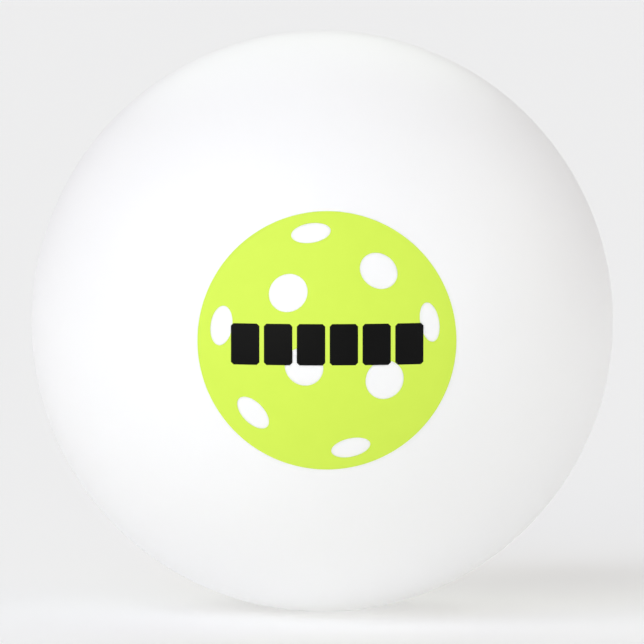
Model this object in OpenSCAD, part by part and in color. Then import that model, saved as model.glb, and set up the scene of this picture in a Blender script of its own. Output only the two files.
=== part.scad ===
// Table tennis ball with a round print on the front.
// Two moulded half shells meet at a lapped, cemented seam, and a thin film of ink
// pictures a spotted ball on the front shell.
// The origin is the centre of the ball. The seam lies in the XZ plane, the print
// faces -Y, and +Z is up.

/* [Ball] */
// Diameter of the ball
ball_d = 40; // [38:0.5:44]
// Thickness of the shells away from the seam
shell_wall = 0.5; // [0.4:0.05:0.8]

/* [Seam] */
// How much thicker the shells are at the seam, where their inside is straight
rim_extra = 0.3; // [0.2:0.05:0.5]
// How far the rear shell's lip reaches into the front shell
lip_len = 1.2; // [0.8:0.1:1.8]
// Thickness of the lip
lip_t = 0.35; // [0.25:0.05:0.4]
// Thickness of the cement film in the joint, which is also the joint's clearance
cement_t = 0.05; // [0.03:0.01:0.08]
// Radius of the bead of cement squeezed out on the inside
bead_r = 0.25; // [0.15:0.05:0.35]

/* [Print] */
// Diameter of the round print, straight across
print_d = 17.5; // [14:0.5:22]
// Thickness of the ink
ink_t = 0.03; // [0.02:0.01:0.06]
// Diameter of a spot seen square on
spot_d = 2.7; // [2:0.1:3.4]

/* [Black blocks] */
// Number of blocks in the row
block_count = 6; // [1:1:8]
// Width of the whole row
row_w = 13; // [10:0.2:14]
// Height of the row
row_h = 2.8; // [2:0.1:4]
// Width of the gap between two blocks
block_gap = 0.3; // [0.2:0.05:0.6]
// Length of the cut across each corner of a block
corner_cut = 0.35; // [0.1:0.05:0.5]
// How far the middle of the row lies below the middle of the print
row_drop = 0.15; // [0:0.05:1]

/* [Hidden] */
$fn = 180;

ball_r = ball_d / 2;
cavity_r = ball_r - shell_wall;
// The straight inside of the rim and the wall that the lip slides into
bore_r = cavity_r - rim_extra;
lap_r = bore_r + lip_t + cement_t;
// The two shells stop half a film either side of the seam's plane
butt = cement_t / 2;

// Spots of the pictured ball: [how far out, as a share of the print's radius,
// direction in degrees from +X towards +Z, height as a share of width]
spots = [
    [0.845, 98.5, 0.48],
    [0.675, 54, 0.84],
    [0.485, 128.5, 0.92],
    [0.825, 171.5, 0.54],
    [0.805, 10.5, 0.48],
    [0.26, 226, 0.93],
    [0.53, 326.5, 0.94],
    [0.795, 224, 0.54],
    [0.845, 282.5, 0.48]
];

shell_white = [0.96, 0.96, 0.95];
cement_ivory = [0.93, 0.91, 0.84];
ink_lime = [0.84, 0.96, 0.36];
ink_black = [0.1, 0.1, 0.1];

// Turns a profile about the Y axis: its x is the radius, its y points to the front.
module turn_about_y() {
    rotate([90, 0, 0]) rotate_extrude() children();
}

// The hollow: a sphere with its middle stretch narrowed to the straight rim.
module cavity_profile() {
    intersection() {
        circle(cavity_r);
        square([2 * bore_r, ball_d], center = true);
    }
}

// The wall of the front half, from half a film off the seam's plane to the pole.
module half_wall_profile() {
    difference() {
        intersection() {
            circle(ball_r);
            translate([0, butt]) square(ball_r);
        }
        cavity_profile();
    }
}

// The printed half, rebated inside its rim to take the other half's lip.
module front_half_shell() {
    color(shell_white) turn_about_y() difference() {
        half_wall_profile();
        square([lap_r, lip_len + cement_t]);
    }
}

// The plain half, with the lip that centres it in the front half.
module rear_half_shell() {
    color(shell_white) turn_about_y() {
        mirror([0, 1]) half_wall_profile();
        translate([bore_r, -butt]) square([lip_t, lip_len + butt]);
    }
}

// Cement that fills the stepped joint from the outside to the bead inside.
module seam_cement() {
    color(cement_ivory) turn_about_y() {
        // the hairline between the two outer edges
        intersection() {
            circle(ball_r);
            translate([lap_r - cement_t, -butt]) square([ball_r, cement_t]);
        }
        // the film round the lip
        translate([lap_r - cement_t, -butt])
            square([cement_t, lip_len + cement_t + butt]);
        // the film past the lip's end
        translate([bore_r, lip_len])
            square([lap_r - bore_r, cement_t]);
        // the bead
        intersection() {
            translate([bore_r, lip_len + butt]) circle(bead_r);
            square([bore_r, cavity_r]);
        }
    }
}

// One spot: a circle of the pictured ball, flattened towards the picture's middle.
module spot(reach, direction, flatness) {
    rotate(direction) translate([reach * print_d / 2, 0])
        scale([flatness, 1]) circle(d = spot_d);
}

// One block, with its corners cut off.
module block(w, h) {
    polygon([
        [corner_cut, 0], [w - corner_cut, 0],
        [w, corner_cut], [w, h - corner_cut],
        [w - corner_cut, h], [corner_cut, h],
        [0, h - corner_cut], [0, corner_cut]
    ]);
}

// The row of plain blocks across the picture.
module block_row() {
    pitch = (row_w + block_gap) / block_count;
    for (i = [0 : block_count - 1])
        translate([i * pitch - row_w / 2, -row_drop - row_h / 2])
            block(pitch - block_gap, row_h);
}

// Lays a flat picture on the ball, straight from the front, one film of ink thick.
module printed() {
    intersection() {
        difference() {
            sphere(ball_r + ink_t);
            sphere(ball_r);
        }
        rotate([90, 0, 0]) linear_extrude(height = ball_d) children();
    }
}

// The disc, left bare at the spots and where the black lies.
module green_print() {
    color(ink_lime) printed() difference() {
        circle(d = print_d);
        for (s = spots) spot(s[0], s[1], s[2]);
        block_row();
    }
}

// The blocks, in the gaps that the lime leaves for them.
module black_print() {
    color(ink_black) printed() block_row();
}

front_half_shell();
rear_half_shell();
seam_cement();
green_print();
black_print();
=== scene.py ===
import math

import bmesh
import bpy
from mathutils import Matrix, Vector


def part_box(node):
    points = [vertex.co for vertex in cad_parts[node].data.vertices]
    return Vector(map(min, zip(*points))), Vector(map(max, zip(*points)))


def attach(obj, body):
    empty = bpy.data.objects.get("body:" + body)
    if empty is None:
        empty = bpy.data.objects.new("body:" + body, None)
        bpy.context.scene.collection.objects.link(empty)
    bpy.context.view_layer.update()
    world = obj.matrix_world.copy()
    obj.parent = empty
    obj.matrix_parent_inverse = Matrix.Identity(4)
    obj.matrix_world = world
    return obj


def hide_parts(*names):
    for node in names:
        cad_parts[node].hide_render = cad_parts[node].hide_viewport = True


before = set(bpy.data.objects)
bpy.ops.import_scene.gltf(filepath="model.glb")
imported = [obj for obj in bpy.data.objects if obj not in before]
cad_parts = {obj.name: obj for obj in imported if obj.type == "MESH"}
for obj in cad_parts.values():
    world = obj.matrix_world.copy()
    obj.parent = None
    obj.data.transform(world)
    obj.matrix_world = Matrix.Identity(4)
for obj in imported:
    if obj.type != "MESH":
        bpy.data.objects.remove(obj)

bpy.context.view_layer.update()
scene = bpy.context.scene
mm = 0.001
mergeMm = 0.001              # points closer than this are one
sharpDegrees = 35            # a turn by more than this keeps its edge
print("frame loaded")

# What the frame gives, in metres. The front shell's edge stops half a cement film off the seam's
# plane, and the rear shell's lip reaches past it to the front, which is -Y.
shellLow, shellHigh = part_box("front_half_shell")
lipLow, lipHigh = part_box("rear_half_shell")
discLow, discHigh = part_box("green_print")
rowLow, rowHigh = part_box("black_print")
ballRadius = round(lipHigh.y, 5)    # to 0.01 mm, without the frame's rounding errors
halfFilm = -shellHigh.y
lipReach = -lipLow.y
discRadius = discHigh.x


# A long lens from well back, a little above the print's own axis and to its left.
cameraSetup = {
    "distance": 1,
    "azimuth": -1.03,        # degrees, where 0 faces the print
    "elevation": 4.15,
    "ballShare": 0.903,      # width of the ball's outline as a share of the picture's
    "aimMm": (-0.01, 0, -0.06),
    "sensorMm": 36,
    "clip": (0.1, 20),
}


def placeCamera(setup):
    azimuth, elevation = math.radians(setup["azimuth"]), math.radians(setup["elevation"])
    back = Vector((
        math.sin(azimuth) * math.cos(elevation),
        -math.cos(azimuth) * math.cos(elevation),
        math.sin(elevation),
    ))
    outline = math.tan(math.asin(ballRadius / setup["distance"]))
    data = bpy.data.cameras.new("camera")
    data.sensor_width = setup["sensorMm"]
    data.lens = setup["sensorMm"] / 2 / outline * setup["ballShare"]
    data.clip_start, data.clip_end = setup["clip"]
    camera = bpy.data.objects.new("camera", data)
    camera.location = back * setup["distance"] + Vector(setup["aimMm"]) * mm
    camera.rotation_mode = "QUATERNION"
    camera.rotation_quaternion = (-back).to_track_quat("-Z", "Y")
    scene.collection.objects.link(camera)
    scene.camera = camera


placeCamera(cameraSetup)
print("camera placed")


def toLinear(hexColour):
    shares = [int(hexColour[i:i + 2], 16) / 255 for i in (1, 3, 5)]
    return tuple(s / 12.92 if s <= 0.04045 else ((s + 0.055) / 1.055) ** 2.4 for s in shares) + (1,)


# Settings name a socket where the node has one, or else one of the node's own values. A colour
# mix shares its sockets' names with other mixes, so its colours are 6 and 7 and its result is 2.
def addNode(tree, kind, settings=None, links=None):
    node = tree.nodes.new(kind)
    for name, value in (settings or {}).items():
        if isinstance(name, int) or name in node.inputs:
            node.inputs[name].default_value = value
        else:
            setattr(node, name, value)
    for name, socket in (links or {}).items():
        tree.links.new(socket, node.inputs[name])
    return node


def startMaterial(name):
    made = bpy.data.materials.new(name)
    made.use_nodes = True
    made.node_tree.nodes.clear()
    return made, made.node_tree


# The scale that gives a pattern features of a real size, on coordinates in metres.
def scaleFor(sizeMm):
    return 1 / (sizeMm * mm)


# ABS, moulded white and then tumbled smooth. The tumbling leaves a fine even satin with no
# direction to it, and light sinks into the thin wall, so shadows on it have soft edges.
absLook = {
    "white": ("#FAFAF9", "#FCFCFC"),
    "cloudMm": 6,
    "roughness": (0.36, 0.46),
    "grainMm": 0.1,          # the real marks are about 0.03 mm, drawn three times as coarse
    "grainDepthMm": 0.001,
    "ior": 1.54,
    "scatter": 1,            # all the light that isn't mirrored sinks in first
    "scatterMm": 0.15,
}


def tumbledAbs(look):
    made, tree = startMaterial("tumbledWhiteAbs")
    place = addNode(tree, "ShaderNodeTexCoord")
    cloud = addNode(tree, "ShaderNodeTexNoise", {
        "Scale": scaleFor(look["cloudMm"]),
        "Detail": 2,
        "Roughness": 0.5,
    }, {"Vector": place.outputs["Object"]})
    grain = addNode(tree, "ShaderNodeTexNoise", {
        "Scale": scaleFor(look["grainMm"]),
        "Detail": 3,
        "Roughness": 0.6,
    }, {"Vector": place.outputs["Object"]})
    white = addNode(tree, "ShaderNodeMix", {
        "data_type": "RGBA",
        6: toLinear(look["white"][0]),
        7: toLinear(look["white"][1]),
    }, {"Factor": cloud.outputs["Fac"]})
    rough = addNode(tree, "ShaderNodeMapRange", {
        "To Min": look["roughness"][0],
        "To Max": look["roughness"][1],
    }, {"Value": grain.outputs["Fac"]})
    bump = addNode(tree, "ShaderNodeBump", {
        "Distance": look["grainDepthMm"] * mm,
    }, {"Height": grain.outputs["Fac"]})
    skin = addNode(tree, "ShaderNodeBsdfPrincipled", {
        "IOR": look["ior"],
        "Subsurface Weight": look["scatter"],
        "Subsurface Radius": (1, 1, 1),
        "Subsurface Scale": look["scatterMm"] * mm,
    }, {
        "Base Color": white.outputs[2],
        "Roughness": rough.outputs["Result"],
        "Normal": bump.outputs["Normal"],
    })
    addNode(tree, "ShaderNodeOutputMaterial", {}, {"Surface": skin.outputs["BSDF"]})
    return made


# Solvent cement, dried in the joint: the same plastic dissolved, a little yellower and glossier.
cementLook = {
    "ivory": ("#ECE8D8", "#F2EEE0"),
    "mottleMm": 0.8,
    "roughness": (0.28, 0.42),
    "ior": 1.5,
    "scatter": 1,
    "scatterMm": 0.3,
}


def driedCement(look):
    made, tree = startMaterial("driedSolventCement")
    place = addNode(tree, "ShaderNodeTexCoord")
    mottle = addNode(tree, "ShaderNodeTexNoise", {
        "Scale": scaleFor(look["mottleMm"]),
        "Detail": 3,
        "Roughness": 0.5,
    }, {"Vector": place.outputs["Object"]})
    ivory = addNode(tree, "ShaderNodeMix", {
        "data_type": "RGBA",
        6: toLinear(look["ivory"][0]),
        7: toLinear(look["ivory"][1]),
    }, {"Factor": mottle.outputs["Fac"]})
    rough = addNode(tree, "ShaderNodeMapRange", {
        "To Min": look["roughness"][0],
        "To Max": look["roughness"][1],
    }, {"Value": mottle.outputs["Fac"]})
    skin = addNode(tree, "ShaderNodeBsdfPrincipled", {
        "IOR": look["ior"],
        "Subsurface Weight": look["scatter"],
        "Subsurface Radius": (1, 1, 1),
        "Subsurface Scale": look["scatterMm"] * mm,
    }, {"Base Color": ivory.outputs[2], "Roughness": rough.outputs["Result"]})
    addNode(tree, "ShaderNodeOutputMaterial", {}, {"Surface": skin.outputs["BSDF"]})
    return made


# UV-cured ink, laid down as tiny drops that run together and are set by a lamp. The film is even
# in colour and duller than the shell, with a faint stipple.
inkLook = {
    "lime": ("#CFEB54", "#D3EE57"),
    "black": ("#040404", "#090909"),
    "mottleMm": 1.5,
    "stippleMm": 0.12,       # the drops are about 0.05 mm, drawn twice as coarse
    "stippleDepthMm": 0.001,
    "roughness": (0.42, 0.52),
    "ior": 1.5,
    "gloss": 0.1,            # the drops scatter most of what a smooth film would mirror
}


def uvCuredInk(name, colours, look):
    made, tree = startMaterial(name)
    place = addNode(tree, "ShaderNodeTexCoord")
    mottle = addNode(tree, "ShaderNodeTexNoise", {
        "Scale": scaleFor(look["mottleMm"]),
        "Detail": 3,
        "Roughness": 0.5,
    }, {"Vector": place.outputs["Object"]})
    stipple = addNode(tree, "ShaderNodeTexNoise", {
        "Scale": scaleFor(look["stippleMm"]),
        "Detail": 2,
        "Roughness": 0.5,
    }, {"Vector": place.outputs["Object"]})
    colour = addNode(tree, "ShaderNodeMix", {
        "data_type": "RGBA",
        6: toLinear(colours[0]),
        7: toLinear(colours[1]),
    }, {"Factor": mottle.outputs["Fac"]})
    rough = addNode(tree, "ShaderNodeMapRange", {
        "To Min": look["roughness"][0],
        "To Max": look["roughness"][1],
    }, {"Value": stipple.outputs["Fac"]})
    bump = addNode(tree, "ShaderNodeBump", {
        "Distance": look["stippleDepthMm"] * mm,
    }, {"Height": stipple.outputs["Fac"]})
    skin = addNode(tree, "ShaderNodeBsdfPrincipled", {
        "IOR": look["ior"],
        "Specular IOR Level": look["gloss"],
    }, {
        "Base Color": colour.outputs[2],
        "Roughness": rough.outputs["Result"],
        "Normal": bump.outputs["Normal"],
    })
    addNode(tree, "ShaderNodeOutputMaterial", {}, {"Surface": skin.outputs["BSDF"]})
    return made


shellAbs = tumbledAbs(absLook)
seamMaterial = driedCement(cementLook)
limeInk = uvCuredInk("limeUvCuredInk", inkLook["lime"], inkLook)
blackInk = uvCuredInk("blackUvCuredInk", inkLook["black"], inkLook)
print("materials made")


# The shells and the cement are turned about Y. Their profiles are drawn in the YZ plane,
# where z is the distance from the axis.
def startProfile(y, z):
    bm = bmesh.new()
    return bm, bm.verts.new((0, y, z))


def lineTo(bm, vert, y, z):
    made = bmesh.ops.extrude_vert_indiv(bm, verts=[vert])["verts"][0]
    bmesh.ops.translate(bm, verts=[made], vec=Vector((0, y, z)) - made.co)
    return made


def arcTo(bm, vert, centre, angle, steps):
    made = bmesh.ops.spin(bm, geom=[vert], cent=centre, axis=(1, 0, 0), angle=angle, steps=steps)
    return made["geom_last"][0]


def roundCorners(bm, verts, radius, steps):
    bmesh.ops.bevel(bm, geom=verts, offset=radius, offset_type="OFFSET", segments=steps, profile=0.5,
                    affect="VERTICES", material=-1)


def turnProfile(bm, turns):
    bmesh.ops.spin(bm, geom=bm.verts[:] + bm.edges[:], cent=(0, 0, 0), axis=(0, 1, 0),
                   angle=math.tau, steps=turns, use_merge=True)
    bmesh.ops.remove_doubles(bm, verts=bm.verts, dist=mergeMm * mm)
    bmesh.ops.recalc_face_normals(bm, faces=bm.faces)


# Makes an object of a finished mesh, smooth between its sharp edges.
def finishPiece(bm, name, material, slot, *nodes):
    mesh = bpy.data.meshes.new(name)
    bm.to_mesh(mesh)
    bm.free()
    mesh.shade_smooth()
    mesh.set_sharp_from_angle(angle=math.radians(sharpDegrees))
    mesh.materials.append(material)
    piece = bpy.data.objects.new(name, mesh)
    scene.collection.objects.link(piece)
    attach(piece, "root")
    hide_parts(*nodes)
    print(name, "made,", len(mesh.polygons), "faces")
    return piece


# Two moulded halves with a lapped joint: the rear one's lip sits in a rebate inside the front one's rim.
shellSizes = {
    "wallMm": 0.5,
    "rimExtraMm": 0.3,       # the rim is thicker, with a straight inside
    "lipMm": 0.35,
    "edgeMm": 0.04,          # rounding of the outside edges at the seam
    "edgeSteps": 3,
    "poleSteps": 64,
    "turns": 256,
}
cavityRadius = ballRadius - shellSizes["wallMm"] * mm
boreRadius = cavityRadius - shellSizes["rimExtraMm"] * mm
lipRadius = boreRadius + shellSizes["lipMm"] * mm
lapRadius = lipRadius + 2 * halfFilm
boreLength = math.sqrt(cavityRadius ** 2 - boreRadius ** 2)


# side is -1 for the front half and 1 for the rear half. The seam's end of the profile is given as
# a list of corners, from the outside edge inwards.
def halfShell(side, corners, sizes):
    edgeAngle = math.acos(halfFilm / ballRadius)
    boreAngle = math.acos(boreLength / cavityRadius)
    bm, vert = startProfile(side * ballRadius, 0)
    vert = arcTo(bm, vert, (0, 0, 0), side * edgeAngle, sizes["poleSteps"])
    outerEdge = vert
    for y, z in corners:
        vert = lineTo(bm, vert, y, z)
    vert = lineTo(bm, vert, side * boreLength, boreRadius)
    arcTo(bm, vert, (0, 0, 0), -side * boreAngle, sizes["poleSteps"])
    roundCorners(bm, [outerEdge], sizes["edgeMm"] * mm, sizes["edgeSteps"])
    turnProfile(bm, sizes["turns"])
    return bm


frontCorners = [
    (-halfFilm, lapRadius),
    (-lipReach - 2 * halfFilm, lapRadius),
    (-lipReach - 2 * halfFilm, boreRadius),
]
rearCorners = [
    (halfFilm, lipRadius),
    (-lipReach, lipRadius),
    (-lipReach, boreRadius),
]
frontHalf = halfShell(-1, frontCorners, shellSizes)
finishPiece(frontHalf, "frontShell", shellAbs, "shell_abs", "front_half_shell")
rearHalf = halfShell(1, rearCorners, shellSizes)
finishPiece(rearHalf, "rearShell", shellAbs, "shell_abs", "rear_half_shell")


# The cement fills the stepped joint, from just under the outside to the bead inside.
cementSizes = {
    "beadMm": 0.25,
    "beadSteps": 12,
    "sunkMm": 0.01,          # wiped off and tumbled a little below the shells
}


def seamRing(sizes, turns):
    bead = sizes["beadMm"] * mm
    beadMiddle = -lipReach - halfFilm
    outside = ballRadius - sizes["sunkMm"] * mm
    bm, first = startProfile(halfFilm, outside)
    vert = first
    # down the gap, along the lip and round its end, to the bead
    for y, z in [
        (-halfFilm, outside),
        (-halfFilm, lapRadius),
        (-lipReach - 2 * halfFilm, lapRadius),
        (-lipReach - 2 * halfFilm, boreRadius),
        (beadMiddle - bead, boreRadius),
    ]:
        vert = lineTo(bm, vert, y, z)
    vert = arcTo(bm, vert, (0, beadMiddle, boreRadius), math.pi, sizes["beadSteps"])
    # and back along the lip's other face
    for y, z in [
        (-lipReach, boreRadius),
        (-lipReach, lipRadius),
        (halfFilm, lipRadius),
    ]:
        vert = lineTo(bm, vert, y, z)
    bm.edges.new((vert, first))
    turnProfile(bm, turns)
    return bm


seam = seamRing(cementSizes, shellSizes["turns"])
finishPiece(seam, "seamCement", seamMaterial, "cement", "seam_cement")


# The print is a film of even thickness, cut straight through from the front. Each spot is
# how far out it lies as a share of the disc's radius, its direction in degrees from +X
# towards +Z, and its height as a share of its width.
printSizes = {
    "inkMm": 0.03,
    "ringSteps": 26,
    "turns": 192,
    "spotMm": 2.7,
    "spotSteps": 96,
    "spots": [
        (0.845, 98.5, 0.48),
        (0.675, 54, 0.84),
        (0.485, 128.5, 0.92),
        (0.825, 171.5, 0.54),
        (0.805, 10.5, 0.48),
        (0.26, 226, 0.93),
        (0.53, 326.5, 0.94),
        (0.795, 224, 0.54),
        (0.845, 282.5, 0.48),
    ],
    "blockCount": 6,
    "blockGapMm": 0.3,
    "cornerCutMm": 0.175,    # how far along each edge a corner is cut
    "sliverMm": 0.0005,      # edges shorter than this are closed up after a cut
}


# The whole disc with nothing cut out: two caps and a wall that runs straight back.
def filmDisc(sizes):
    inkRadius = ballRadius + sizes["inkMm"] * mm
    outerAngle = math.asin(discRadius / inkRadius)
    innerAngle = math.asin(discRadius / ballRadius)
    bm, vert = startProfile(-inkRadius, 0)
    vert = arcTo(bm, vert, (0, 0, 0), -outerAngle, sizes["ringSteps"])
    vert = lineTo(bm, vert, -ballRadius * math.cos(innerAngle), discRadius)
    arcTo(bm, vert, (0, 0, 0), innerAngle, sizes["ringSteps"])
    turnProfile(bm, sizes["turns"])
    return bm


# A cutter is a flat outline in the XZ plane, drawn out to the front, well past the film.
def drawOut(bm, faces):
    length = 1.5 * ballRadius
    out = bmesh.ops.extrude_face_region(bm, geom=faces)["geom"]
    drawn = [v for v in out if isinstance(v, bmesh.types.BMVert)]
    bmesh.ops.translate(bm, verts=drawn, vec=(0, -length, 0))


def spotCutter(sizes):
    bm = bmesh.new()
    upright = Matrix.Rotation(math.radians(90), 4, "X")
    for reach, direction, flatness in sizes["spots"]:
        turned = Matrix.Rotation(math.radians(-direction), 4, "Y")
        moved = Matrix.Translation((reach * discRadius, 0, 0))
        flattened = Matrix.Diagonal((flatness, 1, 1, 1))
        made = bmesh.ops.create_circle(bm, cap_ends=True, segments=sizes["spotSteps"],
                                       radius=sizes["spotMm"] / 2 * mm,
                                       matrix=turned @ moved @ flattened @ upright)
        drawOut(bm, list({f for v in made["verts"] for f in v.link_faces}))
    bmesh.ops.recalc_face_normals(bm, faces=bm.faces)
    return bm


def rowCutter(sizes):
    bm = bmesh.new()
    upright = Matrix.Rotation(math.radians(90), 4, "X")
    gap = sizes["blockGapMm"] * mm
    cut = sizes["cornerCutMm"] * math.sqrt(2) * mm    # across the corner, as the bevel takes it
    pitch = (rowHigh.x - rowLow.x + gap) / sizes["blockCount"]
    size = Vector((pitch - gap, 1, rowHigh.z - rowLow.z))
    for i in range(sizes["blockCount"]):
        moved = Matrix.Translation((rowLow.x + size.x / 2 + i * pitch, 0, (rowLow.z + rowHigh.z) / 2))
        stretched = Matrix.Diagonal((*size, 1))
        made = bmesh.ops.create_grid(bm, x_segments=1, y_segments=1, size=0.5,
                                     matrix=moved @ stretched @ upright)
        made = bmesh.ops.bevel(bm, geom=made["verts"], offset=cut, offset_type="WIDTH", segments=1,
                               profile=0.5, affect="VERTICES", material=-1)
        drawOut(bm, list({f for v in made["verts"] for f in v.link_faces}))
    bmesh.ops.recalc_face_normals(bm, faces=bm.faces)
    return bm


# Returns the film with the cutter taken out of it, or only what lies inside the cutter.
def cutFilm(film, cutter, operation, sizes):
    held = []
    for name, bm in (("film", film), ("cutter", cutter)):
        mesh = bpy.data.meshes.new(name)
        bm.to_mesh(mesh)
        bm.free()
        held.append(bpy.data.objects.new(name, mesh))
        scene.collection.objects.link(held[-1])
    cut = held[0].modifiers.new("cut", "BOOLEAN")
    cut.operation, cut.solver, cut.object = operation, "EXACT", held[1]
    depsgraph = bpy.context.evaluated_depsgraph_get()
    bm = bmesh.new()
    bm.from_object(held[0], depsgraph)
    bmesh.ops.dissolve_degenerate(bm, edges=bm.edges, dist=sizes["sliverMm"] * mm)
    for piece in held:
        bpy.data.objects.remove(piece)
    return bm


lime = cutFilm(filmDisc(printSizes), spotCutter(printSizes), "DIFFERENCE", printSizes)
lime = cutFilm(lime, rowCutter(printSizes), "DIFFERENCE", printSizes)
finishPiece(lime, "limePrint", limeInk, "lime_ink", "green_print")
black = cutFilm(filmDisc(printSizes), rowCutter(printSizes), "INTERSECT", printSizes)
finishPiece(black, "blackPrint", blackInk, "black_ink", "black_print")


# Soft light from all round, and soft lamps. Each lamp stands for a far softbox: its azimuth and
# elevation, as the camera's, how many degrees wide it looks from the ball, its colour and strength.
studio = {
    "light": "#FFF8FB",
    "lightStrength": 0.513,
    "backdrop": "#F1F1F1",   # only the camera sees it
    "bounces": 12,
    "lamps": [
        ("key", -29, 28, 60, "#DCE9FF", 1.096),
        ("left", -60, 30, 30, "#FFFFFA", 0.517),
        ("low front", -20, 12, 20, "#FFF5B9", 0.329),
        ("low right", 45, 8, 30, "#F5FFFF", 0.31),
        ("right", 90, 30, 50, "#FEFFEC", 0.385),
        ("back", 180, 40, 50, "#F0FFEF", 0.527),
    ],
}


def makeWorld(setup):
    world = bpy.data.worlds.new("studio")
    world.use_nodes = True
    tree = world.node_tree
    tree.nodes.clear()
    light = addNode(tree, "ShaderNodeBackground", {
        "Color": toLinear(setup["light"]),
        "Strength": setup["lightStrength"],
    })
    backdrop = addNode(tree, "ShaderNodeBackground", {"Color": toLinear(setup["backdrop"])})
    ray = addNode(tree, "ShaderNodeLightPath")
    # sockets: the share of the second shader, then the two shaders
    seen = addNode(tree, "ShaderNodeMixShader", {}, {
        0: ray.outputs["Is Camera Ray"],
        1: light.outputs["Background"],
        2: backdrop.outputs["Background"],
    })
    addNode(tree, "ShaderNodeOutputWorld", {}, {"Surface": seen.outputs["Shader"]})
    scene.world = world


def hangLamps(lamps):
    for name, azimuth, elevation, width, colour, strength in lamps:
        data = bpy.data.lights.new(name, "SUN")
        data.angle = math.radians(width)
        data.color = toLinear(colour)[:3]
        data.energy = strength
        lamp = bpy.data.objects.new(name, data)
        a, e = math.radians(azimuth), math.radians(elevation)
        towards = Vector((math.sin(a) * math.cos(e), -math.cos(a) * math.cos(e), math.sin(e)))
        lamp.rotation_mode = "QUATERNION"
        lamp.rotation_quaternion = towards.to_track_quat("Z", "Y")
        scene.collection.objects.link(lamp)


# Opal acrylic, cast white all through and matted. Light passes up through it, so it glows a little by
# itself, shows no grain and mirrors next to nothing. Under the ball the glow is raised further, as a
# painted pool of light.
opalLook = {
    "white": "#E7E7E7",
    "roughness": 0.9,
    "gloss": 0.1,
    "glow": 0.128,
    "paintedLightPool": 0.1,             # painted pool of light: more glow under the ball, for the light that comes through it
    "paintedLightPoolMm": 10,
    "widthM": 12,
}


def opalAcrylic(look):
    made, tree = startMaterial("opalAcrylic")
    place = addNode(tree, "ShaderNodeTexCoord")
    flat = addNode(tree, "ShaderNodeMapping", {"Scale": (1, 1, 0)}, {"Vector": place.outputs["Object"]})
    reach = addNode(tree, "ShaderNodeVectorMath", {"operation": "LENGTH"}, {0: flat.outputs["Vector"]})
    # the table's even glow, plus a painted pool of light that fades out from under the ball
    glow = addNode(tree, "ShaderNodeMapRange", {
        "interpolation_type": "SMOOTHSTEP",
        "From Max": look["paintedLightPoolMm"] * mm,
        "To Min": look["glow"] + look["paintedLightPool"],
        "To Max": look["glow"],
    }, {"Value": reach.outputs["Value"]})
    skin = addNode(tree, "ShaderNodeBsdfPrincipled", {
        "Base Color": toLinear(look["white"]),
        "Roughness": look["roughness"],
        "Specular IOR Level": look["gloss"],
        "Emission Color": (1, 1, 1, 1),
    }, {"Emission Strength": glow.outputs["Result"]})
    addNode(tree, "ShaderNodeOutputMaterial", {}, {"Surface": skin.outputs["BSDF"]})
    return made


def layTable(look):
    bm = bmesh.new()
    bmesh.ops.create_grid(bm, x_segments=1, y_segments=1, size=look["widthM"] / 2,
                          matrix=Matrix.Translation((0, 0, -ballRadius)))
    mesh = bpy.data.meshes.new("table")
    bm.to_mesh(mesh)
    bm.free()
    mesh.materials.append(opalAcrylic(look))
    table = bpy.data.objects.new("table", mesh)
    scene.collection.objects.link(table)


makeWorld(studio)
hangLamps(studio["lamps"])
layTable(opalLook)
scene.view_settings.view_transform = "Standard"
scene.cycles.diffuse_bounces = studio["bounces"]
print("studio lit")
